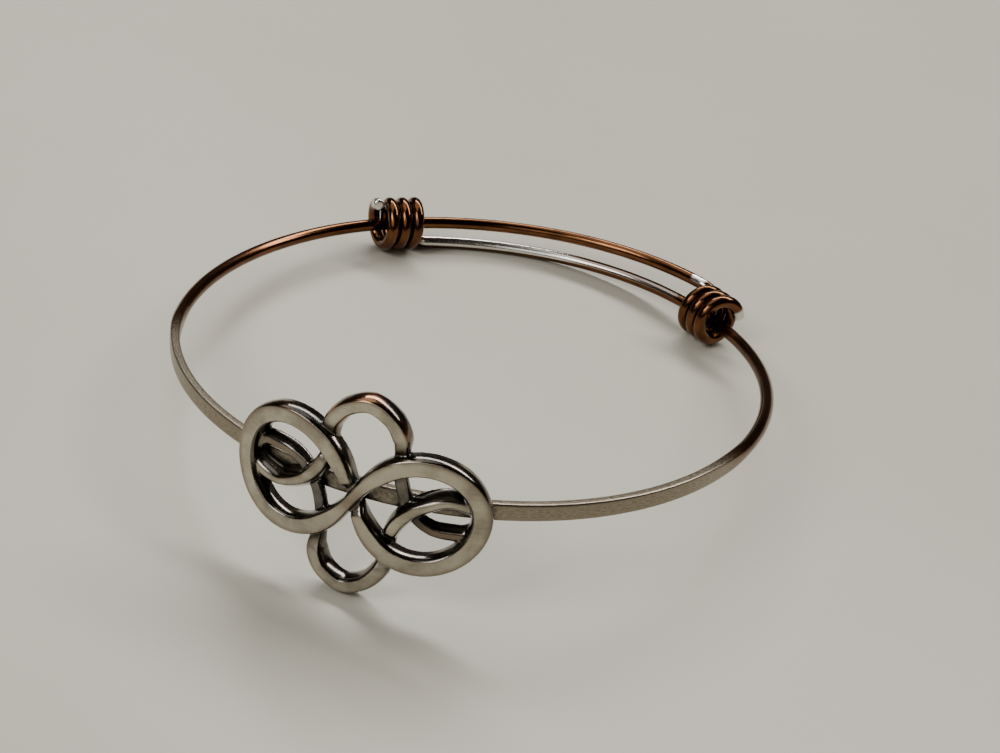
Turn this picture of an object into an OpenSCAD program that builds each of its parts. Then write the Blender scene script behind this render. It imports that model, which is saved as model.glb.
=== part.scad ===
// Adjustable wire bangle with a cast infinity-knot charm, lying as it rests by itself.
// Millimetres. The charm faces -Y, the two sliding coils are at the back, and the floor is z = 0.

/* [Ring] */
// Half width of the ring, from its centre to the middle of the wire
ring_half_w = 32.5; // [27:0.5:40]
// Half depth of the ring, from its centre to the middle of the wire
ring_half_d = 35.4; // [30:0.2:43]
// How far the hand-bent ring leans out of an even oval, as a share of its half width
ring_lean = 0.012; // [0:0.002:0.036]

/* [Wire] */
// Diameter of the round wire
wire_d = 1.5; // [1.2:0.05:1.8]
// Height of the flattened stretch of wire at the front
strip_h = 1.75; // [1.5:0.05:2.6]
// Thickness of the flattened stretch of wire
strip_t = 0.97; // [0.8:0.05:1.4]
// Angle from the charm at which the flattened stretch starts to turn round
flat_to = 57; // [45:1:70]
// Angle over which the flattened stretch turns round
flat_fade = 19; // [10:1:40]
// Rounding of the wire's two cut tips, as a share of its radius
tip_round = 0.35; // [0.1:0.05:0.6]

/* [Coils] */
// Angle from the charm, round the left side, to where the left coil is wound from
left_coil_at = 151.5; // [140:0.5:160]
// Angle from the charm, round the right side, to where the right coil is wound from
right_coil_at = 147.5; // [140:0.5:160]
// Turns of the left coil
left_turns = 3.5; // [2:0.05:4.5]
// Turns of the right coil
right_turns = 3.15; // [2:0.05:4.5]
// Room all round the wire that slides through a coil, when it is in the middle
coil_slip = 1.1; // [0.6:0.05:1.5]
// Gap between neighbouring turns
turn_gap = 0.14; // [0.04:0.01:0.3]
// Bend radius of the wire where it turns into its coil
coil_bend = 1.5; // [1.2:0.1:2.4]
// Lean of the pair of wires away from upright at the left coil
left_lean = 0; // [-30:1:30]
// Lean of the pair of wires away from upright at the right coil, upper wire outwards
right_lean = 25; // [-30:1:40]
// Share of its room that the right coil rides up from the wire inside it
right_ride = 0.5; // [0:0.05:0.6]

/* [Charm] */
// Width of the charm
charm_w = 24.8; // [21:0.2:30]
// Height of the charm, from arch to arch
charm_h = 21; // [18:0.2:25]
// Height of the two lying loops
loop_h = 12.7; // [11:0.1:15]
// Thickness of the charm at the lying loops
charm_t = 1.9; // [1.5:0.1:2.4]
// Width of the lying loops' bar
loop_bar = 2; // [1.6:0.05:2.3]
// Width of the arches' bar
arch_bar = 1.7; // [1.3:0.05:2]
// How far the strands inside the loops widen to each side towards the charm's back
strand_foot = 0.48; // [0.3:0.01:0.55]
// Rounding of the bars' front edges
bar_round = 0.3; // [0.1:0.05:0.4]
// How deep the lower bar dips where the lying loops cross
cross_dip = 0.65; // [0.3:0.05:0.9]
// How much taller the left loop is than the middle of the two, as a share
left_taller = 0.05; // [-0.1:0.01:0.1]
// How far the lying loops' outer ends rise above their crossing
end_rise = 0.45; // [-1:0.05:1]
// How far the arches sit to the right of the loops' middle
arch_side = 0.25; // [-0.5:0.05:0.5]
// How far the arches sit above the loops' middle
arch_rise = 0.2; // [-0.5:0.05:0.5]
// Turn of the charm in its own face, against the clock
charm_roll = -5; // [-9:0.5:9]
// Distance of the charm's middle along the strip, to the right
charm_side = -0.55; // [-2:0.05:2]
// Height of the charm's middle over the middle of the strip
charm_rise = -0.25; // [-1.5:0.05:1.5]
// Joint line between the charm's back and the strip
charm_gap = 0.05; // [0.03:0.01:0.2]

/* [Hidden] */

// Steps: sides of the wire, degrees between its rings, rings a turn, rings in a bend
wire_sides = 12;
arm_step = 5;
turn_rings = 16;
bend_rings = 5;
// Steps of the charm: along a lying loop in degrees, and along the arches in parts of a row
loop_step = 5;
row_parts = 3;
// Angle from the charm at which the two wires start to part, and their least gap in a coil
part_from = 65;
touch_gap = 0.1;
// Squareness of the strip's corners, where 2 is an ellipse
strip_power = 5;
// Shape of the lying loops: more draws their widest places apart
loop_spread = 3.3;
// Share by which the steps are longer at the crossing and shorter at the loops' outer ends
step_even = 0.55;

function unit(v) = v / norm(v);
function mix(a, b, k) = a + (b - a) * k;
function clamp(x) = max(0, min(1, x));
function ease(x) = let (k = clamp(x)) k * k * (3 - 2 * k);
function square_to(n, t) = unit(n - (n * t) * t);
function reversed(list) = [for (i = [len(list) - 1:-1:0]) list[i]];
function flattened(lists) = [for (list = lists) for (item = list) item];

// The ring's middle line. An angle is counted from the charm; side is 1 for the wire that comes
// round the right and -1 for the wire that comes round the left.
function ring_r(th) = ring_half_w * pow(cos(th), 2) + ring_half_d * pow(sin(th), 2)
    - ring_lean * ring_half_w * cos(3 * th);
function ring_at(th) = ring_r(th) * [cos(th), sin(th), 0];
function ring_out(th) = unit(cross(ring_at(th + 1) - ring_at(th - 1), [0, 0, 1]));

// Each wire passes through the coil on its own side and winds the coil on the other side. The left
// wire runs above the right one. A pair's gap is the distance between their middle lines.
coil_r = wire_d + coil_slip;
coil_play = coil_slip - touch_gap;
function pass_at(side) = side > 0 ? right_coil_at : left_coil_at;
function wind_at(side) = 360 - pass_at(-side);
function pair_gap(side) = coil_r + (side > 0 ? right_ride * coil_play : 0);
function pair_lean(side) = side > 0 ? right_lean : left_lean;

function arm_point(side, a) =
    let (
        th = -90 + side * a,
        share = ease((a - part_from) / (pass_at(side) - part_from)),
        k = clamp((a - pass_at(side)) / (wind_at(side) - pass_at(side))),
        gap = mix(pair_gap(side), pair_gap(-side), k) * share / 2,
        lean = mix(pair_lean(side), pair_lean(-side), k),
        r = ring_r(th) - side * gap * sin(lean)
    )
    [r * cos(th), r * sin(th), -side * gap * cos(lean)];

function arm_path(side) =
    let (n = round(wind_at(side) / arm_step))
    [for (i = [0:n]) arm_point(side, wind_at(side) * i / n)];

// A coil unrolled: rows of [distance along it, angle round it], a bend and then the turns
coil_pitch = wire_d + turn_gap;
bend_angle = 90 - atan(coil_pitch / (2 * PI * coil_r));
function coil_rows(turns) =
    let (
        bend = [for (i = [1:bend_rings]) let (g = bend_angle * i / bend_rings)
            [coil_bend * sin(g), coil_bend * (1 - cos(g)) / coil_r * 180 / PI]],
        from = bend[bend_rings - 1],
        n = ceil((turns - from[1] / 360) * turn_rings),
        step = (turns * 360 - from[1]) / n
    )
    concat(bend, [for (i = [1:n]) from + i * step * [coil_pitch / 360, 1]]);

// A coil's axis keeps to the wire inside it: it runs as that wire does halfway along the coil
function coil_path(side) =
    let (
        rows = coil_rows(side > 0 ? left_turns : right_turns),
        from = wind_at(side),
        th = -90 + side * from,
        half = rows[len(rows) - 1][0] / 2 / ring_r(th) * 180 / PI,
        along = unit(arm_point(side, from + half + 1) - arm_point(side, from + half - 1)),
        lean = pair_lean(-side),
        away = -side * [sin(lean) * cos(th), sin(lean) * sin(th), cos(lean)],
        u = square_to(away, along),
        v = cross(u, along)
    )
    [for (row = rows)
        arm_point(side, from) + along * row[0] + coil_r * ((cos(row[1]) - 1) * u + sin(row[1]) * v)];

// The whole wire, from the left wire's tip through the front to the right wire's tip
function wire_half(side) = concat(arm_path(side), coil_path(side));
left_half = wire_half(-1);
right_half = wire_half(1);
wire_front = len(left_half) - 1;
wire_path = [
    for (i = [wire_front:-1:0]) left_half[i],
    for (i = [1:len(right_half) - 1]) right_half[i]
];
wire_last = len(wire_path) - 1;
wire_along = [for (i = [0:wire_last])
    unit(wire_path[min(i + 1, wire_last)] - wire_path[max(i - 1, 0)])];

// The side of the wire that faces out, carried from the charm both ways so that it never twists
function carried(list) =
    [for (i = 0, n = [0, -1, 0]; i < len(list);
        i = i + 1, n = square_to(n, list[min(i, len(list) - 1)])) n];
left_out = carried([for (i = [wire_front:-1:0]) wire_along[i]]);
right_out = carried([for (i = [wire_front:wire_last]) wire_along[i]]);
wire_out = [
    for (i = [wire_front:-1:0]) left_out[i],
    for (i = [1:len(right_out) - 1]) right_out[i]
];

// How flat the wire is at a point: 1 is the strip at the charm, 0 is round wire
function from_charm(p) = acos(-p[1] / norm([p[0], p[1]]));
function flatness(p) = 1 - ease((from_charm(p) - flat_to) / flat_fade);

// The wire's section, from a circle to a flat strip with rounded corners
function power_of(x, p) = sign(x) * pow(abs(x), p);
function wire_ring(p, along, out, size) =
    let (
        flat = flatness(p),
        power = 2 / mix(2, strip_power, flat),
        a = size * mix(wire_d, strip_t, flat) / 2,
        b = size * mix(wire_d, strip_h, flat) / 2
    )
    [for (i = [0:wire_sides - 1]) let (g = 360 * (i + 0.5) / wire_sides)
        p + a * power_of(cos(g), power) * out + b * power_of(sin(g), power) * cross(along, out)];

// A rounded tip beyond an end of the wire; way is 1 at the path's end and -1 at its start
function tip_rings(i, way) =
    [for (g = [30:30:90])
        wire_ring(
            wire_path[i] + way * wire_d / 2 * tip_round * sin(g) * wire_along[i],
            wire_along[i], wire_out[i], 1 - tip_round * (1 - cos(g))
        )];
band_rings = concat(
    reversed(tip_rings(0, -1)),
    [for (i = [0:wire_last]) wire_ring(wire_path[i], wire_along[i], wire_out[i], 1)],
    tip_rings(wire_last, 1)
);

// The charm's face, flat: across and up from its middle, then rolled and laid along the strip
charm_back = strip_t / 2 + charm_gap;
function charm_th(p) = -90
    + (p[0] * cos(charm_roll) - p[1] * sin(charm_roll) + charm_side) / ring_r(-90) * 180 / PI;
function charm_out(p) = ring_out(charm_th(p));
function charm_place(p) =
    ring_at(charm_th(p)) + charm_back * charm_out(p)
    + [0, 0, charm_rise + p[0] * sin(charm_roll) + p[1] * cos(charm_roll)];

// The two lying loops as one bar: rows of [across, up, width, level, foot], by angle along them
loop_a = (charm_w - loop_bar) / 2;
loop_b = (loop_h - loop_bar) * sqrt(1 + loop_spread);
crossing_bar = 0.62 * loop_bar;
function loop_row(step) =
    let (
        t = step - step_even * sin(2 * step) * 90 / PI,
        d = 1 + loop_spread * pow(sin(t), 2),
        x = loop_a * cos(t) / d,
        share = x / loop_a,
        y = loop_b * sin(t) * cos(t) / d * (1 - left_taller * share) + end_rise * share * share,
        away = norm([x, y]) / loop_bar,
        dip = t > 180 && t < 360 ? 1 - ease((away - 0.4) / 0.5) : 0
    )
    [x, y, mix(crossing_bar, loop_bar, ease(away / 2.3)), charm_t - cross_dip * dip, 0];
loop_rows = [for (step = [0:loop_step:359]) loop_row(step)];

// The arches' bar: it goes over the top, under a loop, round a rim and back, under the loop again
// and round the bottom. The rows are half of it, and the other half is the same turned by 180
// degrees. Columns: across as a share of half the charm's width, up as a share of half its height,
// width as a share of arch_bar, level as a share of charm_t, foot as a share of strand_foot.
arch_half = [
    [-0.020, 0.911, 1.00, 1.00, 0.0],
    [0.145, 0.833, 1.00, 1.00, 0.0],
    [0.230, 0.690, 1.05, 0.92, 0.0],
    [0.246, 0.571, 0.88, 0.68, 0.0],
    [0.250, 0.438, 0.80, 0.42, 0.0],
    [0.274, 0.276, 0.80, 0.42, 0.0],
    [0.339, 0.095, 0.74, 0.42, 0.2],
    [0.444, -0.067, 0.65, 0.50, 0.5],
    [0.573, -0.140, 0.60, 0.58, 0.8],
    [0.705, -0.143, 0.60, 0.58, 1.0],
    [0.825, -0.115, 0.65, 0.58, 0.8],
    [0.905, 0.020, 0.76, 0.63, 0.2],
    [0.845, 0.155, 0.70, 0.74, 1.2],
    [0.654, 0.182, 0.52, 0.80, 1.5],
    [0.524, 0.118, 0.58, 0.86, 1.4],
    [0.403, 0.010, 0.72, 0.88, 0.9],
    [0.325, -0.130, 0.82, 0.86, 0.5],
    [0.290, -0.255, 0.76, 0.78, 0.3],
    [0.284, -0.330, 0.76, 0.36, 0.1],
    [0.286, -0.430, 0.84, 0.44, 0.0],
    [0.290, -0.533, 0.94, 0.68, 0.0],
    [0.270, -0.657, 1.03, 0.92, 0.0],
    [0.177, -0.819, 1.00, 1.00, 0.0]
];
function arch_row(row, turn) = [
    turn * row[0] * charm_w / 2 + arch_side,
    turn * row[1] * charm_h / 2 + arch_rise,
    row[2] * arch_bar,
    row[3] * charm_t,
    row[4] * strand_foot
];
arch_knots = [for (turn = [1, -1]) for (row = arch_half) arch_row(row, turn)];
function curve(a, b, c, d, k) =
    (2 * b + (c - a) * k + (2 * a - 5 * b + 4 * c - d) * k * k + (3 * b - a - 3 * c + d) * k * k * k) / 2;
function knot(i) = arch_knots[(i + len(arch_knots)) % len(arch_knots)];
arch_rows = [for (i = [0:len(arch_knots) - 1]) for (j = [0:row_parts - 1])
    curve(knot(i - 1), knot(i), knot(i + 1), knot(i + 2), j / row_parts)];

// A bar's section stands on the charm's flat back, on its foot, and has rounded front edges
function bar_ring(rows, i) =
    let (
        n = len(rows),
        row = rows[i],
        out = charm_out(row),
        along = square_to(charm_place(rows[(i + 1) % n]) - charm_place(rows[(i + n - 1) % n]), out),
        aside = cross(out, along),
        half = [for (g = [0:45:90])
            [row[2] / 2 - bar_round * (1 - cos(g)), row[3] - bar_round * (1 - sin(g))]],
        section = concat([[row[2] / 2 + row[4], 0]], half, [for (q = reversed(half)) [-q[0], q[1]]],
            [[-row[2] / 2 - row[4], 0]])
    )
    [for (q = section) charm_place(row) + q[0] * aside + q[1] * out];
loop_rings = [for (i = [0:len(loop_rows) - 1]) bar_ring(loop_rows, i)];
arch_rings = [for (i = [0:len(arch_rows) - 1]) bar_ring(arch_rows, i)];

// The resting place: the bangle leans on the charm's lowest edge and on both coils
band_points = flattened(band_rings);
charm_points = flattened(concat(loop_rings, arch_rings));
function lowest(points, up) =
    let (heights = [for (p = points) up * p])
    points[search(min(heights), heights)[0]];
function settled(up, tries) =
    tries == 0 ? up : let (
        front = lowest(charm_points, up),
        left = lowest([for (p = band_points) if (p[1] > 0 && p[0] < 0) p], up),
        right = lowest([for (p = band_points) if (p[1] > 0 && p[0] > 0) p], up)
    )
    settled(unit(cross(right - front, left - front)), tries - 1);
rest_up = settled([0, 0, 1], 6);
rest_x = square_to([1, 0, 0], rest_up);
rest_y = cross(rest_up, rest_x);
function turned(p) = [rest_x * p, rest_y * p, rest_up * p];
all_turned = [for (p = concat(band_points, charm_points)) turned(p)];
function spread(k) = [for (p = all_turned) p[k]];
middle = [
    (min(spread(0)) + max(spread(0))) / 2,
    (min(spread(1)) + max(spread(1))) / 2,
    min(spread(2))
];
function rest(points) = [for (p = points) turned(p) - middle];

// A closed tube through rings of the same number of points
function tube_faces(rings, sides) =
    concat(
        [[for (j = [0:sides - 1]) j]],
        [for (i = [0:rings - 2]) for (j = [0:sides - 1]) for (half = [0, 1])
            let (a = i * sides + j, b = i * sides + (j + 1) % sides)
            half == 0 ? [a, a + sides, b + sides] : [a, b + sides, b]],
        [[for (j = [sides - 1:-1:0]) (rings - 1) * sides + j]]
    );

// A bar in short solid lengths, fused where they meet
module bar(rings) {
    n = len(rings);
    for (i = [0:n - 1]) {
        hull() {
            polyhedron(rest(concat(rings[i], rings[(i + 1) % n])), tube_faces(2, len(rings[i])));
        }
    }
}

// One continuous wire: flat at the charm, round at the sides, and both sliding coils
module band() {
    color([0.62, 0.56, 0.5]) {
        polyhedron(rest(band_points), tube_faces(len(band_rings), wire_sides), convexity = 8);
    }
}

// The cast charm: two lying loops that cross, and an arched bar knotted through them
module charm() {
    color([0.68, 0.66, 0.62]) {
        union() {
            bar(loop_rings);
            bar(arch_rings);
        }
    }
}

band();
charm();
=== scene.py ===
import math

import bpy
import numpy as np
from mathutils import Matrix, Vector
from mathutils.bvhtree import BVHTree


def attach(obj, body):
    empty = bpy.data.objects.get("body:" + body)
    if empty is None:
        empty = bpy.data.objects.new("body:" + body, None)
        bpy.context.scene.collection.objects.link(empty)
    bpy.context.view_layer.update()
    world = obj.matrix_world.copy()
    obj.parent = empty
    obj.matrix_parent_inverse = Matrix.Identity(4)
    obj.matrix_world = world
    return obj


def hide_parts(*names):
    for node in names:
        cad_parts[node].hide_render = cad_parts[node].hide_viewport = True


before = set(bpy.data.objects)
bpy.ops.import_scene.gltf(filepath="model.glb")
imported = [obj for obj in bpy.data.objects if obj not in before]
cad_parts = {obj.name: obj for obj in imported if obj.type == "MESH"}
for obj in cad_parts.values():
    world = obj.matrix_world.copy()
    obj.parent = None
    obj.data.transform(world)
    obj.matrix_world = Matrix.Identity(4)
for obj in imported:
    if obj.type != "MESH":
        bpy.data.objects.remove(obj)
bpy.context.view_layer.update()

MM = 0.001

# Sizes in millimetres and degrees, as the part's source names them
RING_HALF_W, RING_HALF_D, RING_LEAN = 32.5, 35.4, 0.012
WIRE_D, STRIP_H, STRIP_T = 1.5, 1.75, 0.97
FLAT_TO, FLAT_FADE, PART_FROM = 57.0, 19.0, 65.0
COIL_AT = {-1: 151.5, 1: 147.5}
COIL_TURNS = {-1: 3.5, 1: 3.15}
COIL_LEAN = {-1: 0.0, 1: 25.0}
COIL_SLIP, TURN_GAP, COIL_BEND, TOUCH_GAP, RIGHT_RIDE = 1.1, 0.14, 1.5, 0.1, 0.5
CHARM_W, CHARM_H, CHARM_T, LOOP_H = 24.8, 21.0, 1.9, 12.7
LOOP_BAR, ARCH_BAR, CROSS_DIP = 2.0, 1.7, 0.65
LOOP_SPREAD, LEFT_TALLER, END_RISE, STEP_EVEN = 3.3, 0.05, 0.45, 0.55
ARCH_SIDE, ARCH_RISE, STRAND_FOOT = 0.25, 0.2, 0.48
CHARM_ROLL, CHARM_SIDE, CHARM_RISE, CHARM_GAP = -5.0, -0.55, -0.25, 0.05
DIP_FROM, DIP_FADE, CROSS_NARROW, CROSS_REACH = 0.4, 0.5, 0.62, 2.3

# Where wear takes the wire's dark tone off, with a painted highlight over the same places: at the
# bends into the coils, on the top of the lower wire between the coils and all round the tips. In
# degrees along an arm, in millimetres along a coil, and as shares of the full effect and of a
# surface's tilt
RUB_HIGHLIGHT_END, RUB_HIGHLIGHT_END_FADE = 2.5, 1.5
RUB_HIGHLIGHT_PAIR_FROM, RUB_HIGHLIGHT_PAIR_FADE = 1.0, 3.0
RUB_HIGHLIGHT_FIRST, RUB_HIGHLIGHT_FULL_FROM, RUB_HIGHLIGHT_FULL_FADE = 0.45, 172.0, 12.0
RUB_HIGHLIGHT_COIL, TIP_HIGHLIGHT, TIP_HIGHLIGHT_FADE = 1.5, 1.6, 1.2
# Painted highlight: the bright colour only goes on the part of the wire that faces up, past a tilt
# that rises towards the ring's right
HIGHLIGHT_TILT, HIGHLIGHT_SOFT = 0.45, 0.3

# How far the dark of the charm's recesses, the painted shade on the strip behind the charm and the
# dark of the charm's middle reach, in millimetres
SKY_CHARM, SKY_WIRE, MIDDLE_REACH = 1.3, 3.2, 3.2
RAY_LIFT, UV_PER_METRE = 0.00002, 100.0

# The ring's upright and the middle of the part's box, seen from the ring's own frame
REST_UP = np.array([0.0507174, -0.113497, 0.992243])
MIDDLE = np.array([-0.457804, -1.17381, -6.36546])


def unit(v):
    return v / np.linalg.norm(v, axis=-1, keepdims=True)


def mix(a, b, k):
    return a + (b - a) * k


def ease(x):
    k = np.clip(x, 0.0, 1.0)
    return k * k * (3 - 2 * k)


def square_to(n, t):
    return unit(n - np.sum(n * t, axis=-1, keepdims=True) * t)


REST_X = square_to(np.array([1.0, 0.0, 0.0]), REST_UP)
REST = np.stack([REST_X, np.cross(REST_UP, REST_X), REST_UP])


def rest(points):
    """Points of the ring's own frame, in metres in the part's frame."""
    return (points @ REST.T - MIDDLE) * MM


# The ring and its two wires: side is 1 for the wire round the right, -1 for the one round the left
def ring_r(th):
    oval = RING_HALF_W * np.cos(th) ** 2 + RING_HALF_D * np.sin(th) ** 2
    return oval - RING_LEAN * RING_HALF_W * np.cos(3 * th)


def ring_at(th):
    r = ring_r(th)
    return np.stack([r * np.cos(th), r * np.sin(th), 0 * th], -1)


def ring_out(th):
    step = math.radians(1)
    along = unit(ring_at(th + step) - ring_at(th - step))
    return np.cross(along, [0.0, 0.0, 1.0])


COIL_R = WIRE_D + COIL_SLIP
FRONT = math.radians(-90)


def wind_at(side):
    return 360 - COIL_AT[-side]


def pair_gap(side):
    return COIL_R + (RIGHT_RIDE * (COIL_SLIP - TOUCH_GAP) if side > 0 else 0)


def arm_point(side, a):
    a = np.asarray(a, float)
    th = FRONT + side * np.radians(a)
    share = ease((a - PART_FROM) / (COIL_AT[side] - PART_FROM))
    k = np.clip((a - COIL_AT[side]) / (wind_at(side) - COIL_AT[side]), 0, 1)
    gap = mix(pair_gap(side), pair_gap(-side), k) * share / 2
    lean = np.radians(mix(COIL_LEAN[side], COIL_LEAN[-side], k))
    r = ring_r(th) - side * gap * np.sin(lean)
    return np.stack([r * np.cos(th), r * np.sin(th), -side * gap * np.cos(lean)], -1)


def coil_rows(turns, bend_steps, turn_steps):
    """A coil unrolled: distance along it and angle round it, a bend and then the turns."""
    pitch = WIRE_D + TURN_GAP
    g = math.radians(90) - math.atan(pitch / (2 * math.pi * COIL_R))
    g = g * np.arange(1, bend_steps + 1) / bend_steps
    bend = np.stack([COIL_BEND * np.sin(g), COIL_BEND * (1 - np.cos(g)) / COIL_R], -1)
    left = turns * 2 * math.pi - bend[-1, 1]
    n = math.ceil(left / (2 * math.pi) * turn_steps)
    step = left / n * np.arange(1, n + 1)
    return np.concatenate([bend, bend[-1] + np.stack([step * pitch / (2 * math.pi), step], -1)])


def coil_path(side, bend_steps=14, turn_steps=60):
    rows = coil_rows(COIL_TURNS[-side], bend_steps, turn_steps)
    start = wind_at(side)
    th = FRONT + side * math.radians(start)
    half = math.degrees(rows[-1, 0] / 2 / ring_r(th))
    along = unit(arm_point(side, start + half + 1) - arm_point(side, start + half - 1))
    lean = math.radians(COIL_LEAN[-side])
    away = -side * np.array([
        math.sin(lean) * math.cos(th), math.sin(lean) * math.sin(th), math.cos(lean)])
    u = square_to(away, along)
    v = np.cross(u, along)
    turn = rows[:, 1:2]
    circle = (np.cos(turn) - 1) * u + np.sin(turn) * v
    return arm_point(side, start) + along * rows[:, :1] + COIL_R * circle


def wire_half(side, step=0.8):
    """A wire's path from the charm, how far wear takes its dark tone off with a painted highlight over
    it (on the lower wire between the coils, just before the other wire's coil and at the start of its
    own coil), and where a painted highlight makes it bright all round (at its tip)."""
    n = round(wind_at(side) / step)
    a = wind_at(side) * np.arange(n + 1) / n
    coil = coil_path(side)
    into = np.cumsum(np.linalg.norm(np.diff(coil, axis=0, prepend=arm_point(side, a[-1:])), axis=1))
    arm_rub_highlight = ease((a - a[-1] + RUB_HIGHLIGHT_END) / RUB_HIGHLIGHT_END_FADE)
    if side > 0:
        arm_rub_highlight = ease((a - COIL_AT[side] - RUB_HIGHLIGHT_PAIR_FROM) / RUB_HIGHLIGHT_PAIR_FADE)
        arm_rub_highlight = arm_rub_highlight * mix(RUB_HIGHLIGHT_FIRST, 1, ease((a - RUB_HIGHLIGHT_FULL_FROM) / RUB_HIGHLIGHT_FULL_FADE))
    rub_highlight = np.concatenate([arm_rub_highlight, 1 - ease(into / RUB_HIGHLIGHT_COIL)])
    tip_highlight = np.concatenate([0 * a, ease((into - into[-1] + TIP_HIGHLIGHT) / TIP_HIGHLIGHT_FADE)])
    return np.concatenate([arm_point(side, a), coil]), rub_highlight, tip_highlight


def flatness(p):
    from_charm = np.degrees(np.arccos(np.clip(-p[:, 1] / np.hypot(p[:, 0], p[:, 1]), -1, 1)))
    return 1 - ease((from_charm - FLAT_TO) / FLAT_FADE)


def carried(along):
    """The side of the wire that faces out, carried along it so that it never twists."""
    out = np.zeros_like(along)
    n = np.array([0.0, -1.0, 0.0])
    for i, t in enumerate(along):
        n = square_to(n, t)
        out[i] = n
    return out


def wire_rings(sides=40, corner=7.0, tip_round=0.45):
    left, right = wire_half(-1), wire_half(1)
    path, rub_highlight, tip_highlight = (np.concatenate([a[::-1], b[1:]]) for a, b in zip(left, right))
    front = len(left[0]) - 1
    along = unit(np.gradient(path, axis=0))
    out = np.concatenate([carried(along[front::-1])[::-1], carried(along[front:])[1:]])
    flat = flatness(path)[:, None]
    power = 2 / mix(2.0, corner, flat)
    a = mix(WIRE_D, STRIP_T, flat) / 2
    b = mix(WIRE_D, STRIP_H, flat) / 2
    g = 2 * math.pi * (np.arange(sides) + 0.5) / sides

    def ring(i, size, shift):
        c, s = np.cos(g), np.sin(g)
        x = np.sign(c) * np.abs(c) ** power[i] * a[i] * size
        y = np.sign(s) * np.abs(s) ** power[i] * b[i] * size
        side = np.cross(along[i], out[i])
        return path[i] + shift * along[i] + x[:, None] * out[i] + y[:, None] * side

    steps = [(i, 1.0, 0.0) for i in range(len(path))]
    for t in np.radians(np.linspace(0, 90, 9))[1:]:
        size = 1 - tip_round * (1 - math.cos(t))
        shift = WIRE_D / 2 * tip_round * math.sin(t)
        steps.insert(0, (0, size, -shift))
        steps.append((len(path) - 1, size, shift))
    length = np.concatenate([[0], np.cumsum(np.linalg.norm(np.diff(path, axis=0), axis=1))])
    rings = np.array([ring(*step) for step in steps])
    at = [i for i, _, _ in steps]
    arc = length[at] + [shift for _, _, shift in steps]
    return rings, arc, flat[at, 0], rub_highlight[at], tip_highlight[at]


def new_mesh(name, points, faces):
    mesh = bpy.data.meshes.new(name)
    mesh.from_pydata([tuple(p) for p in points], [], faces)
    mesh.validate()
    mesh.update()
    mesh.shade_smooth()
    return mesh


def put(name, mesh):
    obj = bpy.data.objects.new(name, mesh)
    bpy.context.scene.collection.objects.link(obj)
    return obj


def set_value(mesh, name, values):
    layer = mesh.attributes.get(name) or mesh.attributes.new(name, "FLOAT", "POINT")
    layer.data.foreach_set("value", np.asarray(values, np.float32))


def tube_faces(rings, sides, closed):
    faces = []
    for i in range(rings if closed else rings - 1):
        a, b = i * sides, (i + 1) % rings * sides
        for j in range(sides):
            k = (j + 1) % sides
            faces.append((a + j, a + k, b + k, b + j))
    if not closed:
        faces.append(tuple(range(sides - 1, -1, -1)))
        faces.append(tuple((rings - 1) * sides + j for j in range(sides)))
    return faces


def lay_along(mesh, arc, sides):
    """Lays the wire out flat: along it in one direction and round it in the other."""
    corner = np.zeros(len(mesh.loops), np.int64)
    mesh.loops.foreach_get("vertex_index", corner)
    ring, side = corner // sides, corner % sides
    first = np.zeros(len(mesh.polygons), np.int64)
    mesh.polygons.foreach_get("loop_start", first)
    count = np.zeros(len(mesh.polygons), np.int64)
    mesh.polygons.foreach_get("loop_total", count)
    owner = np.repeat(np.arange(len(first)), count)
    low = np.minimum.reduceat(side, first)
    high = np.maximum.reduceat(side, first)
    seam = (high[owner] - low[owner] > sides // 2) & (side < sides // 2) & (count[owner] == 4)
    places = np.stack([arc[ring] * MM * UV_PER_METRE, side / sides + seam], -1)
    mesh.uv_layers.new(name="along").data.foreach_set("uv", places.astype(np.float32).ravel())


def make_wire():
    rings, arc, flat, rub_highlight, tip_highlight = wire_rings()
    n, sides = rings.shape[:2]
    mesh = new_mesh("wire_mesh", rest(rings.reshape(-1, 3)), tube_faces(n, sides, False))
    lay_along(mesh, arc, sides)
    set_value(mesh, "flat", np.repeat(flat, sides))
    # Painted highlight: the bright colour only goes where the wire's surface faces up, past a tilt
    # that rises towards the ring's right
    up = read_points(mesh)[1][:, 2]
    highlight_from = np.repeat(rings.mean(1)[:, 0] / RING_HALF_W, sides) * HIGHLIGHT_TILT
    rub_highlight = np.repeat(rub_highlight, sides) * ease((up - highlight_from) / HIGHLIGHT_SOFT + 0.5)
    set_value(mesh, "wear_and_highlight", np.maximum(rub_highlight, np.repeat(tip_highlight, sides)))
    return put("wire_swept", mesh)


def darken_behind(wire, charm):
    """Keeps on the wire how open each point of the strip is behind the charm, for the painted shade
    that falls on it there.
    """
    co, no = read_points(wire.data)
    own = (co / MM + MIDDLE) @ REST
    near = np.flatnonzero((own[:, 1] < 0) & (np.abs(own[:, 0]) < CHARM_W / 2 + 2))
    sky = np.ones(len(co))
    sky[near] = open_sky(co[near], no[near], tree_of(charm.data), SKY_WIRE * MM)
    set_value(wire.data, "open", sky)


# The charm, flat in its own face and then laid along the strip
def charm_th(x, y):
    roll = math.radians(CHARM_ROLL)
    along = x * math.cos(roll) - y * math.sin(roll) + CHARM_SIDE
    return FRONT + along / ring_r(FRONT)


def charm_place(x, y, level):
    roll = math.radians(CHARM_ROLL)
    th = charm_th(x, y)
    p = ring_at(th) + (STRIP_T / 2 + CHARM_GAP + level)[..., None] * ring_out(th)
    p[..., 2] += CHARM_RISE + x * math.sin(roll) + y * math.cos(roll)
    return p


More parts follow.
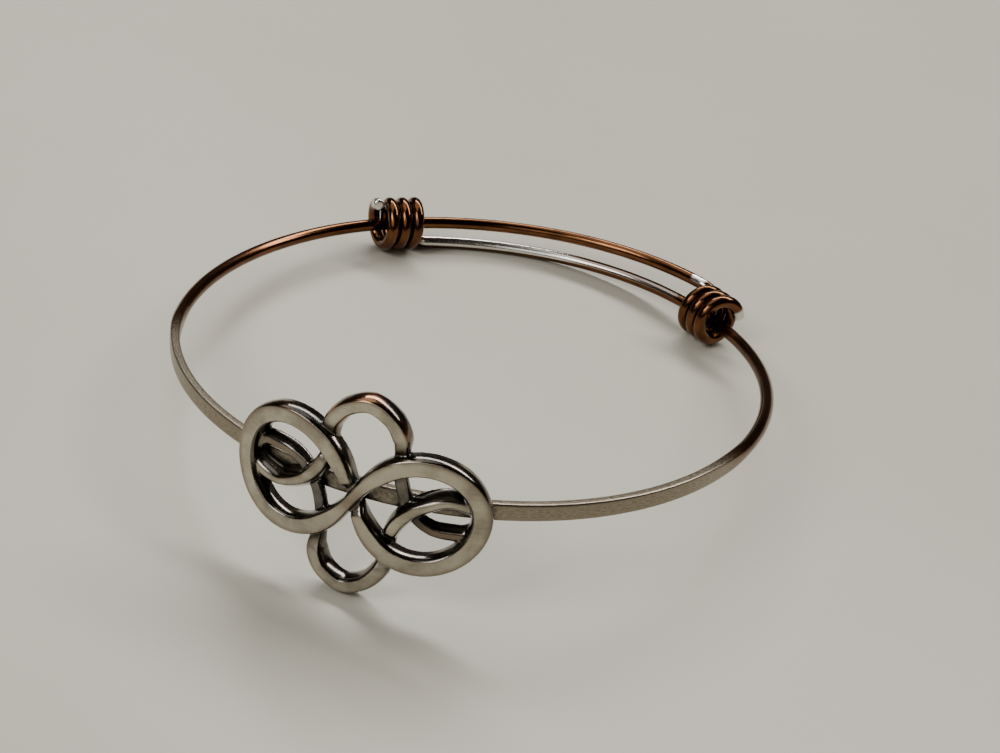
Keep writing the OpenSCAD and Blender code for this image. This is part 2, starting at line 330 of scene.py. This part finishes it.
def loop_rows(n=240):
    step = 2 * math.pi * np.arange(n) / n
    t = step - STEP_EVEN * np.sin(2 * step) / 2
    loop_a = (CHARM_W - LOOP_BAR) / 2
    loop_b = (LOOP_H - LOOP_BAR) * math.sqrt(1 + LOOP_SPREAD)
    d = 1 + LOOP_SPREAD * np.sin(t) ** 2
    x = loop_a * np.cos(t) / d
    share = x / loop_a
    y = loop_b * np.sin(t) * np.cos(t) / d * (1 - LEFT_TALLER * share) + END_RISE * share ** 2
    away = np.hypot(x, y) / LOOP_BAR
    dip = np.where(t > math.pi, 1 - ease((away - DIP_FROM) / DIP_FADE), 0)
    width = mix(CROSS_NARROW * LOOP_BAR, LOOP_BAR, ease(away / CROSS_REACH))
    return np.stack([x, y, width, CHARM_T - CROSS_DIP * dip, 0 * t], -1)


# Half of the arches' bar. Columns: across as a share of half the charm's width, up as a share of
# half its height, width as a share of the arches' bar, level as a share of the charm's thickness,
# foot as a share of STRAND_FOOT.
ARCH_HALF = np.array([
    [-0.020, 0.911, 1.00, 1.00, 0.0],
    [0.145, 0.833, 1.00, 1.00, 0.0],
    [0.230, 0.690, 1.05, 0.92, 0.0],
    [0.246, 0.571, 0.88, 0.68, 0.0],
    [0.250, 0.438, 0.80, 0.42, 0.0],
    [0.274, 0.276, 0.80, 0.42, 0.0],
    [0.339, 0.095, 0.74, 0.42, 0.2],
    [0.444, -0.067, 0.65, 0.50, 0.5],
    [0.573, -0.140, 0.60, 0.58, 0.8],
    [0.705, -0.143, 0.60, 0.58, 1.0],
    [0.825, -0.115, 0.65, 0.58, 0.8],
    [0.905, 0.020, 0.76, 0.63, 0.2],
    [0.845, 0.155, 0.70, 0.74, 1.2],
    [0.654, 0.182, 0.52, 0.80, 1.5],
    [0.524, 0.118, 0.58, 0.86, 1.4],
    [0.403, 0.010, 0.72, 0.88, 0.9],
    [0.325, -0.130, 0.82, 0.86, 0.5],
    [0.290, -0.255, 0.76, 0.78, 0.3],
    [0.284, -0.330, 0.76, 0.36, 0.1],
    [0.286, -0.430, 0.84, 0.44, 0.0],
    [0.290, -0.533, 0.94, 0.68, 0.0],
    [0.270, -0.657, 1.03, 0.92, 0.0],
    [0.177, -0.819, 1.00, 1.00, 0.0],
])


def arch_rows(parts=10):
    scale = np.array([CHARM_W / 2, CHARM_H / 2, ARCH_BAR, CHARM_T, STRAND_FOOT])
    off = np.array([ARCH_SIDE, ARCH_RISE, 0, 0, 0])
    knots = np.concatenate([ARCH_HALF * scale * [turn, turn, 1, 1, 1] + off for turn in (1, -1)])
    rows = []
    n = len(knots)
    for i in range(n):
        a, b, c, d = (knots[(i + k) % n] for k in (-1, 0, 1, 2))
        for j in range(parts):
            k = j / parts
            rows.append((2 * b + (c - a) * k + (2 * a - 5 * b + 4 * c - d) * k ** 2
                         + (3 * b - a - 3 * c + d) * k ** 3) / 2)
    return np.array(rows)


# How far a bar's side leans in from its widest line to its face, how deep that curve goes, and how
# far the side leans in again at the charm's back. The first two have a limit on thin bars, as a
# share of the bar's width and of its level.
SIDE_IN, SIDE_DEEP, BACK_IN = 0.36, 1.0, 0.12
ARCH_IN, ARCH_DEEP = 0.46, 1.3
IN_LIMIT, DEEP_LIMIT = 0.24, 0.75


def bar_points(rows, side_in, side_deep, steps=9):
    """Rings of a bar that stands on the charm's flat back, with bowed sides and round front edges."""
    x, y, width, level, foot = rows.T
    way = unit(np.stack([np.roll(x, -1) - np.roll(x, 1), np.roll(y, -1) - np.roll(y, 1)], -1))
    aside = np.stack([-way[:, 1], way[:, 0]], -1)
    deep = np.minimum(side_deep, level * DEEP_LIMIT)
    inward = np.minimum(side_in, width * IN_LIMIT)
    half = [(width / 2 - BACK_IN + foot, 0 * level)]
    for a in np.radians(np.linspace(0, 90, steps)):
        up = level - deep * (1 - math.sin(a))
        half.append((width / 2 - inward * (1 - math.cos(a)) + foot * (1 - up / level), up))
    rings = half + [(-q, v) for q, v in reversed(half)]
    points = [charm_place(x + q * aside[:, 0], y + q * aside[:, 1], v) for q, v in rings]
    return np.stack(points, 1)


def applied(obj, name):
    """The object's mesh with its modifiers applied."""
    depsgraph = bpy.context.evaluated_depsgraph_get()
    mesh = bpy.data.meshes.new_from_object(obj.evaluated_get(depsgraph))
    mesh.name = name
    return mesh


def read_points(mesh):
    """The mesh's vertices and their normals."""
    out = []
    for name in ("co", "normal"):
        values = np.zeros(len(mesh.vertices) * 3, np.float32)
        mesh.vertices.foreach_get(name, values)
        out.append(values.reshape(-1, 3))
    return out


def tree_of(mesh):
    return BVHTree.FromPolygons([Vector(p) for p in read_points(mesh)[0]],
                                [tuple(p.vertices) for p in mesh.polygons])


def open_sky(co, no, tree, reach, rays=26):
    """For each point, the share of the half sphere over it that is open within reach."""
    n = len(co)
    k = np.arange(rays) + 0.5
    up = np.sqrt(1 - k / rays)
    turn = math.pi * (1 + math.sqrt(5)) * k
    flat = np.sqrt(1 - up ** 2)
    hemi = np.stack([flat * np.cos(turn), flat * np.sin(turn), up], -1)
    helper = np.where(np.abs(no[:, 2:3]) < 0.9, [[0.0, 0.0, 1.0]], [[1.0, 0.0, 0.0]])
    tx = unit(np.cross(helper, no))
    ty = np.cross(no, tx)
    start = co + no * RAY_LIFT
    sky = np.zeros(n)
    cast = tree.ray_cast
    for i in range(n):
        rays_i = hemi @ np.stack([tx[i], ty[i], no[i]])
        p = Vector(start[i])
        hits = 0.0
        for r in rays_i:
            if cast(p, Vector(r), reach)[0] is not None:
                hits += 1
        sky[i] = 1 - hits / rays
    return sky


def across_bar(x, y, batches=60):
    """How far a point of the charm lies from its bar's middle line, as a share of half the bar's
    width, and on which side: outwards from the loop it belongs to is more than 0."""
    loops = loop_rows()
    rows = np.concatenate([loops, arch_rows()])
    in_loop = np.arange(len(rows))[:, None] < len(loops)
    core = np.where(in_loop, np.sign(rows[:, :1]) * [CHARM_W / 4, 0],
                    np.sign(rows[:, 1:2]) * [0, CHARM_H / 4])
    out = np.zeros(len(x))
    for part in np.array_split(np.arange(len(x)), batches):
        p = np.stack([x[part], y[part]], -1)
        away = p[:, None] - rows[None, :, :2]
        share = np.hypot(away[..., 0], away[..., 1]) / (rows[:, 2] / 2)
        near = np.argmin(share, 1)
        k = np.arange(len(part))
        side = np.sign(np.sum(away[k, near] * (rows[near, :2] - core[near]), 1))
        out[part] = share[k, near] * side
    return out


def make_charm(voxel=0.105):
    parts = [bar_points(loop_rows(), SIDE_IN, SIDE_DEEP), bar_points(arch_rows(), ARCH_IN, ARCH_DEEP)]
    points, faces, base = [], [], 0
    for rings in parts:
        n, sides = rings.shape[:2]
        points.append(rest(rings.reshape(-1, 3)))
        faces += [tuple(base + v for v in f) for f in tube_faces(n, sides, True)]
        base += n * sides
    rough = put("charm_rough", new_mesh("charm_rough_mesh", np.concatenate(points), faces))
    fuse = rough.modifiers.new("fuse", "REMESH")
    fuse.mode = "VOXEL"
    fuse.voxel_size = voxel * MM
    soft = rough.modifiers.new("soft", "SMOOTH")
    soft.factor = 0.5
    soft.iterations = 3
    mesh = applied(rough, "charm_mesh")
    bpy.data.objects.remove(rough)
    mesh.shade_smooth()
    co, no = read_points(mesh)
    set_value(mesh, "open", open_sky(co, no, tree_of(mesh), SKY_CHARM * MM))
    own = (co / MM + MIDDLE) @ REST
    way = no @ REST
    th = np.arctan2(own[:, 1], own[:, 0])
    level = np.hypot(own[:, 0], own[:, 1]) - ring_r(th) - STRIP_T / 2 - CHARM_GAP
    set_value(mesh, "level", level / CHARM_T)
    set_value(mesh, "face", np.sum(way * ring_out(th), -1))
    set_value(mesh, "high", own[:, 2] / (CHARM_H / 2))
    roll = math.radians(CHARM_ROLL)
    along, rise = (th - FRONT) * ring_r(FRONT) - CHARM_SIDE, own[:, 2] - CHARM_RISE
    x = along * math.cos(roll) + rise * math.sin(roll)
    y = rise * math.cos(roll) - along * math.sin(roll)
    set_value(mesh, "across", across_bar(x, y))
    set_value(mesh, "middle", 1 - ease(np.hypot(x, y) / MIDDLE_REACH))
    return put("charm_cast", mesh)


# Materials
class Nodes:
    """A material's node tree, with short calls for the nodes it uses."""

    def __init__(self, name):
        self.material = bpy.data.materials.new(name)
        self.material.use_nodes = True
        self.tree = self.material.node_tree
        self.tree.nodes.clear()
        self.out = self.tree.nodes.new("ShaderNodeOutputMaterial")

    def add(self, kind, inputs=None, **settings):
        node = self.tree.nodes.new(kind)
        for key, value in settings.items():
            setattr(node, key, value)
        for key, value in (inputs or {}).items():
            self.set(node.inputs[key], value)
        return node

    def set(self, socket, value):
        if isinstance(value, bpy.types.NodeSocket):
            self.tree.links.new(value, socket)
        elif isinstance(value, tuple) and len(value) == 3 and socket.type == "RGBA":
            socket.default_value = (*value, 1.0)
        else:
            socket.default_value = value

    def value(self, name):
        return self.add("ShaderNodeAttribute", attribute_name=name).outputs["Fac"]

    def place(self, scale=(1, 1, 1)):
        where = self.add("ShaderNodeTexCoord").outputs["Object"]
        return self.add("ShaderNodeMapping", {"Vector": where, "Scale": scale}).outputs[0]

    def along(self, scale):
        where = self.add("ShaderNodeUVMap", uv_map="along").outputs[0]
        return self.add("ShaderNodeMapping", {"Vector": where, "Scale": scale}).outputs[0]

    def noise(self, vector, scale, detail=4.0, rough=0.55):
        return self.add("ShaderNodeTexNoise", {
            "Vector": vector, "Scale": scale, "Detail": detail, "Roughness": rough}).outputs["Fac"]

    def math(self, operation, a, b):
        node = self.add("ShaderNodeMath", operation=operation)
        self.set(node.inputs[0], a)
        self.set(node.inputs[1], b)
        return node.outputs[0]

    def span(self, value, low, high, to_low=0.0, to_high=1.0):
        return self.add("ShaderNodeMapRange", {
            "Value": value, "From Min": low, "From Max": high, "To Min": to_low, "To Max": to_high},
            interpolation_type="SMOOTHSTEP").outputs[0]

    def mix(self, share, a, b):
        node = self.add("ShaderNodeMix", data_type="RGBA")
        self.set(node.inputs["Factor"], share)
        self.set(node.inputs[6], a)
        self.set(node.inputs[7], b)
        return node.outputs[2]

    def bump(self, height, strength, distance):
        return self.add("ShaderNodeBump", {
            "Height": height, "Strength": strength, "Distance": distance}).outputs[0]

    def metal(self, **inputs):
        shader = self.add("ShaderNodeBsdfPrincipled", {
            "Metallic": 1.0, **{key.replace("_", " "): value for key, value in inputs.items()}})
        self.tree.links.new(shader.outputs[0], self.out.inputs[0])
        return self.material


def wire_metal():
    m = Nodes("wire_metal")
    flat = m.value("flat")
    grain = m.noise(m.along((3.0, 60.0, 1.0)), 6.0, 6.0, 0.65)
    patch = m.noise(m.along((1.2, 1.0, 1.0)), 2.0, 3.0)
    shade_streaks = m.noise(m.along((5.0, 14.0, 1.0)), 5.0, 4.0, 0.6)
    pits = m.noise(m.place(), 2600.0, 3.0)
    brown = m.mix(m.span(patch, 0.35, 0.65), (0.17, 0.074, 0.032), (0.1, 0.043, 0.019))
    pale = m.mix(m.span(grain, 0.35, 0.65), (0.2, 0.17, 0.13), (0.36, 0.315, 0.245))
    shiny = m.mix(m.span(grain, 0.3, 0.7), (0.78, 0.76, 0.71), (0.86, 0.84, 0.79))
    color = m.mix(m.span(flat, 0.1, 0.9), brown, pale)
    # Where wear takes the dark tone off, and as a painted highlight at the same places: the silver
    # colour
    wear_and_highlight = m.span(m.value("wear_and_highlight"), 0.2, 0.8)
    color = m.mix(wear_and_highlight, color, shiny)
    # Painted shade: the strip goes nearly black where the charm closes it in, broken into streaks
    hidden = m.math("ADD", m.value("open"), m.math("MULTIPLY", m.math("SUBTRACT", shade_streaks, 0.5), 0.7))
    black = m.span(hidden, 0.3, 0.85, 1.0, 0.0)
    color = m.mix(black, color, (0.045, 0.042, 0.036))
    rough = m.math("ADD", m.span(grain, 0.3, 0.7, 0.1, 0.22), m.math("MULTIPLY", flat, 0.14))
    rough = m.math("ADD", rough, m.math("MULTIPLY", wear_and_highlight, 0.08))
    height = m.math("ADD", m.math("MULTIPLY", grain, flat), m.math("MULTIPLY", pits, 0.3))
    return m.metal(Base_Color=color, Roughness=rough, Normal=m.bump(height, 0.25, 0.00001))


def cast_metal():
    m = Nodes("cast_metal")
    sky = m.value("open")
    level = m.value("level")
    face = m.value("face")
    cloud = m.noise(m.place(), 260.0, 5.0)
    broad = m.noise(m.place(), 120.0, 2.0)
    scratch = m.noise(m.place((60.0, 60.0, 900.0)), 6.0, 6.0, 0.7)
    grit = m.noise(m.place(), 3200.0, 3.0)
    both = m.math("ADD", m.math("MULTIPLY", cloud, 0.85), m.math("MULTIPLY", scratch, 0.15))
    front = m.math("MULTIPLY", m.span(face, 0.75, 0.97), m.span(level, 0.45, 0.8))
    bright = m.mix(m.span(both, 0.36, 0.64), (0.27, 0.242, 0.185), (0.52, 0.48, 0.385))
    # The walls' colour turns copper towards the top of the charm
    copper = m.span(m.math("ADD", m.value("high"), m.math("MULTIPLY", broad, 0.3)), 0.62, 1.0)
    wall_tone = m.mix(copper, (0.16, 0.142, 0.12), (0.27, 0.13, 0.062))
    wall = m.mix(m.span(cloud, 0.38, 0.6), (0.06, 0.053, 0.046), wall_tone)
    rim = m.mix(m.span(broad, 0.35, 0.65), (0.17, 0.11, 0.066), (0.25, 0.2, 0.145))
    outer = m.math("ADD", m.value("across"), m.math("MULTIPLY", m.math("SUBTRACT", broad, 0.5), 0.9))
    middle = m.math("MULTIPLY", m.value("middle"), 0.55)
    brown = m.math("MAXIMUM", m.span(outer, 0.15, 0.95, 0.0, 0.85), middle)
    color = m.mix(m.span(front, 0.0, 0.5), wall, rim)
    color = m.mix(m.span(front, 0.4, 1.0), color, m.mix(brown, bright, rim))
    hidden = m.math("ADD", sky, m.math("MULTIPLY", m.math("SUBTRACT", cloud, 0.5), 0.5))
    black = m.span(hidden, 0.5, 0.95, 1.0, 0.0)
    color = m.mix(black, color, (0.016, 0.015, 0.014))
    rough = m.math("ADD", m.span(front, 0.0, 1.0, 0.17, 0.36), m.math("MULTIPLY", black, 0.15))
    height = m.math("ADD", m.math("MULTIPLY", scratch, 0.5), grit)
    return m.metal(Base_Color=color, Roughness=rough, Coat_Weight=0.5, Coat_Roughness=0.12,
                   Normal=m.bump(height, 0.3, 0.000012))


def floor_paint():
    m = Nodes("floor_paint")
    cloud = m.noise(m.place(), 9.0, 5.0)
    color = m.mix(m.span(cloud, 0.3, 0.7), (0.54, 0.52, 0.44), (0.58, 0.56, 0.48))
    shader = m.add("ShaderNodeBsdfPrincipled", {"Base Color": color, "Roughness": 0.45})
    m.tree.links.new(shader.outputs[0], m.out.inputs[0])
    return m.material


wire = make_wire()
wire.data.materials.append(wire_metal())
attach(wire, "root")
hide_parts("band")

charm = make_charm()
darken_behind(wire, charm)
charm.data.materials.append(cast_metal())
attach(charm, "root")
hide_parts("charm")

# The floor, the light and the camera
FLOOR_HALF = 3.0
corners = [(x * FLOOR_HALF, y * FLOOR_HALF, 0) for x, y in ((-1, -1), (1, -1), (1, 1), (-1, 1))]
floor = put("floor", new_mesh("floor_mesh", corners, [(0, 1, 2, 3)]))
floor.data.materials.append(floor_paint())


def soft_light(name, azimuth, height, distance, size, power, color):
    """A soft box that aims at the part. Its azimuth counts from the back, clockwise from above."""
    az, el = math.radians(azimuth), math.radians(height)
    way = Vector((math.sin(az) * math.cos(el), math.cos(az) * math.cos(el), math.sin(el)))
    data = bpy.data.lights.new(name, "AREA")
    data.shape = "RECTANGLE"
    data.size, data.size_y = size
    data.energy = power
    data.color = color
    light = bpy.data.objects.new(name, data)
    bpy.context.scene.collection.objects.link(light)
    light.location = way * distance
    light.rotation_euler = way.to_track_quat("Z", "Y").to_euler()


soft_light("long_strip", 12, 47, 0.9, (1.4, 0.14), 9.5, (1.0, 0.98, 0.94))
soft_light("top_box", -60, 62, 1.0, (0.8, 0.8), 2.5, (1.0, 0.97, 0.92))
soft_light("front_box", 190, 35, 1.1, (0.9, 0.6), 2.0, (1.0, 0.96, 0.9))
soft_light("window", 221, 44, 1.0, (0.48, 0.4), 4.5, (1.0, 0.99, 0.97))


def make_room():
    """A dim room over a paler horizon, darkest behind on the right, as the metal sees it."""
    world = bpy.data.worlds.new("room")
    world.use_nodes = True
    tree = world.node_tree
    where = tree.nodes.new("ShaderNodeTexCoord").outputs["Generated"]
    split = tree.nodes.new("ShaderNodeSeparateXYZ")
    tree.links.new(where, split.inputs[0])
    ramp = tree.nodes.new("ShaderNodeValToRGB")
    tree.links.new(split.outputs["Z"], ramp.inputs[0])
    stops = [(0.0, (0.26, 0.24, 0.2)), (0.12, (0.16, 0.13, 0.1)), (0.26, (0.07, 0.045, 0.028)),
             (0.6, (0.03, 0.019, 0.012)), (1.0, (0.02, 0.015, 0.012))]
    while len(ramp.color_ramp.elements) < len(stops):
        ramp.color_ramp.elements.new(0.5)
    for element, (at, color) in zip(ramp.color_ramp.elements, stops):
        element.position = at
        element.color = (*color, 1)
    side = tree.nodes.new("ShaderNodeMapRange")
    tree.links.new(split.outputs["X"], side.inputs["Value"])
    side.inputs["From Min"].default_value = -0.5
    side.inputs["From Max"].default_value = 0.5
    side.inputs["To Min"].default_value = 0.55
    side.inputs["To Max"].default_value = 0.35
    background = tree.nodes["Background"]
    tree.links.new(ramp.outputs[0], background.inputs[0])
    tree.links.new(side.outputs[0], background.inputs[1])
    bpy.context.scene.world = world


make_room()

FOCAL_PX, PHOTO_W = 1669.521, 1000
CAMERA_AT = np.array([36.895, -151.992, 102.851])
CAMERA_TURN = {"azimuth": 12.405, "height": 32.389, "roll": 9.371}


def make_camera():
    az, el, roll = (math.radians(CAMERA_TURN[k]) for k in ("azimuth", "height", "roll"))
    back = np.array([math.sin(az) * math.cos(el), -math.cos(az) * math.cos(el), math.sin(el)])
    right = unit(np.cross([0.0, 0.0, 1.0], back))
    up = np.cross(back, right)
    cos, sin = math.cos(roll), math.sin(roll)
    right, up = right * cos + up * sin, up * cos - right * sin
    data = bpy.data.cameras.new("camera")
    data.sensor_fit = "HORIZONTAL"
    data.sensor_width = 36.0
    data.lens = FOCAL_PX / PHOTO_W * data.sensor_width
    data.clip_start, data.clip_end = 0.01, 20.0
    camera = bpy.data.objects.new("camera", data)
    bpy.context.scene.collection.objects.link(camera)
    turn = Matrix(np.stack([right, up, back], -1).tolist()).to_4x4()
    camera.matrix_world = Matrix.Translation(CAMERA_AT * MM) @ turn
    bpy.context.scene.camera = camera


make_camera()
